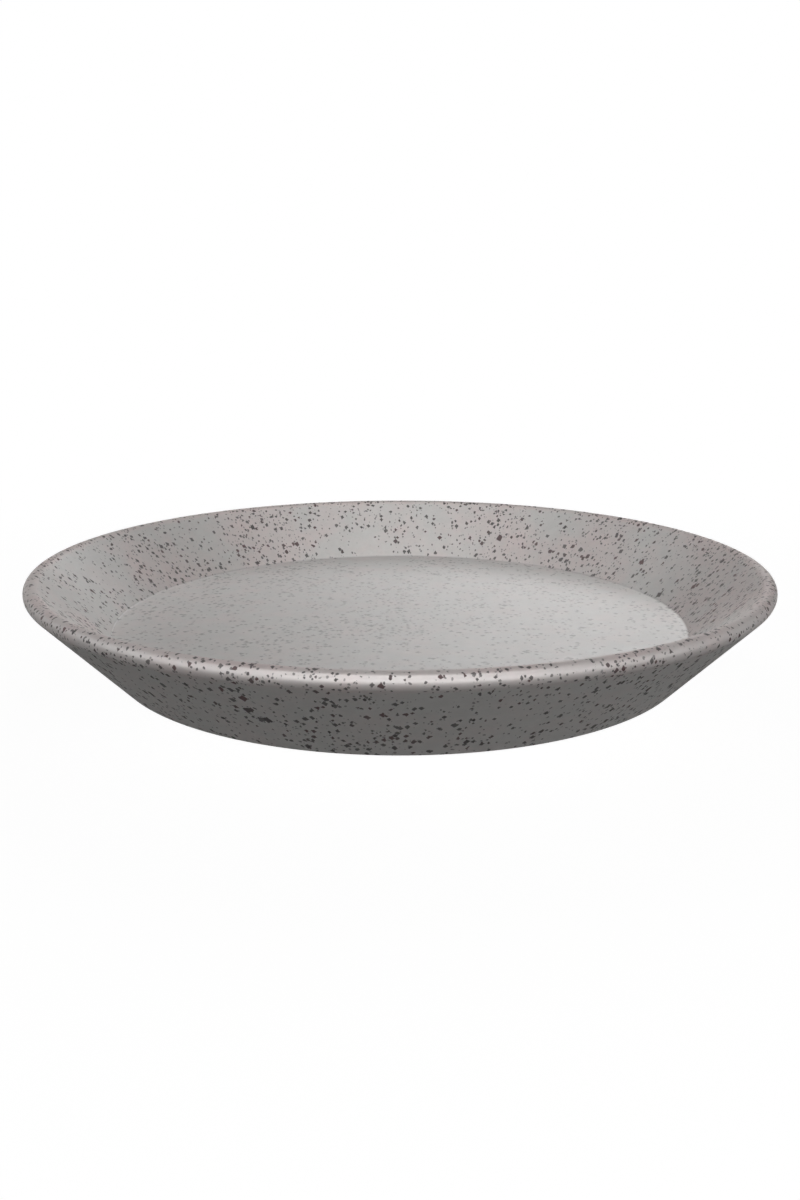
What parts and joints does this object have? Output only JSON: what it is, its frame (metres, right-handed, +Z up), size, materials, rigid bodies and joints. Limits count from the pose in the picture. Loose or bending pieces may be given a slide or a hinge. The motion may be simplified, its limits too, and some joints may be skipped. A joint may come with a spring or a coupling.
{
  "type": "side plate",
  "caption": "Round speckled stoneware side plate with a flat well, a straight flared wall, a rounded lip and a bare foot ring; holds food, rests on a table or stacks on its own kind.",
  "frame": {"origin": "centre of the plate on the table, under the foot ring", "axes": "+Z up along the plate's axis of revolution; X and Y lie in the table and are interchangeable"},
  "size_m": [0.2, 0.2, 0.0262],
  "materials": {
    "clay": "bare fired stoneware, matt, fine sandy grain",
    "glaze": "light warm grey satin glaze with dark iron specks"
  },
  "bodies": {
    "root": {"stoneware_body": "clay", "glaze_coat": "glaze", "underside_glaze": "glaze"}
  },
  "joints": []
}
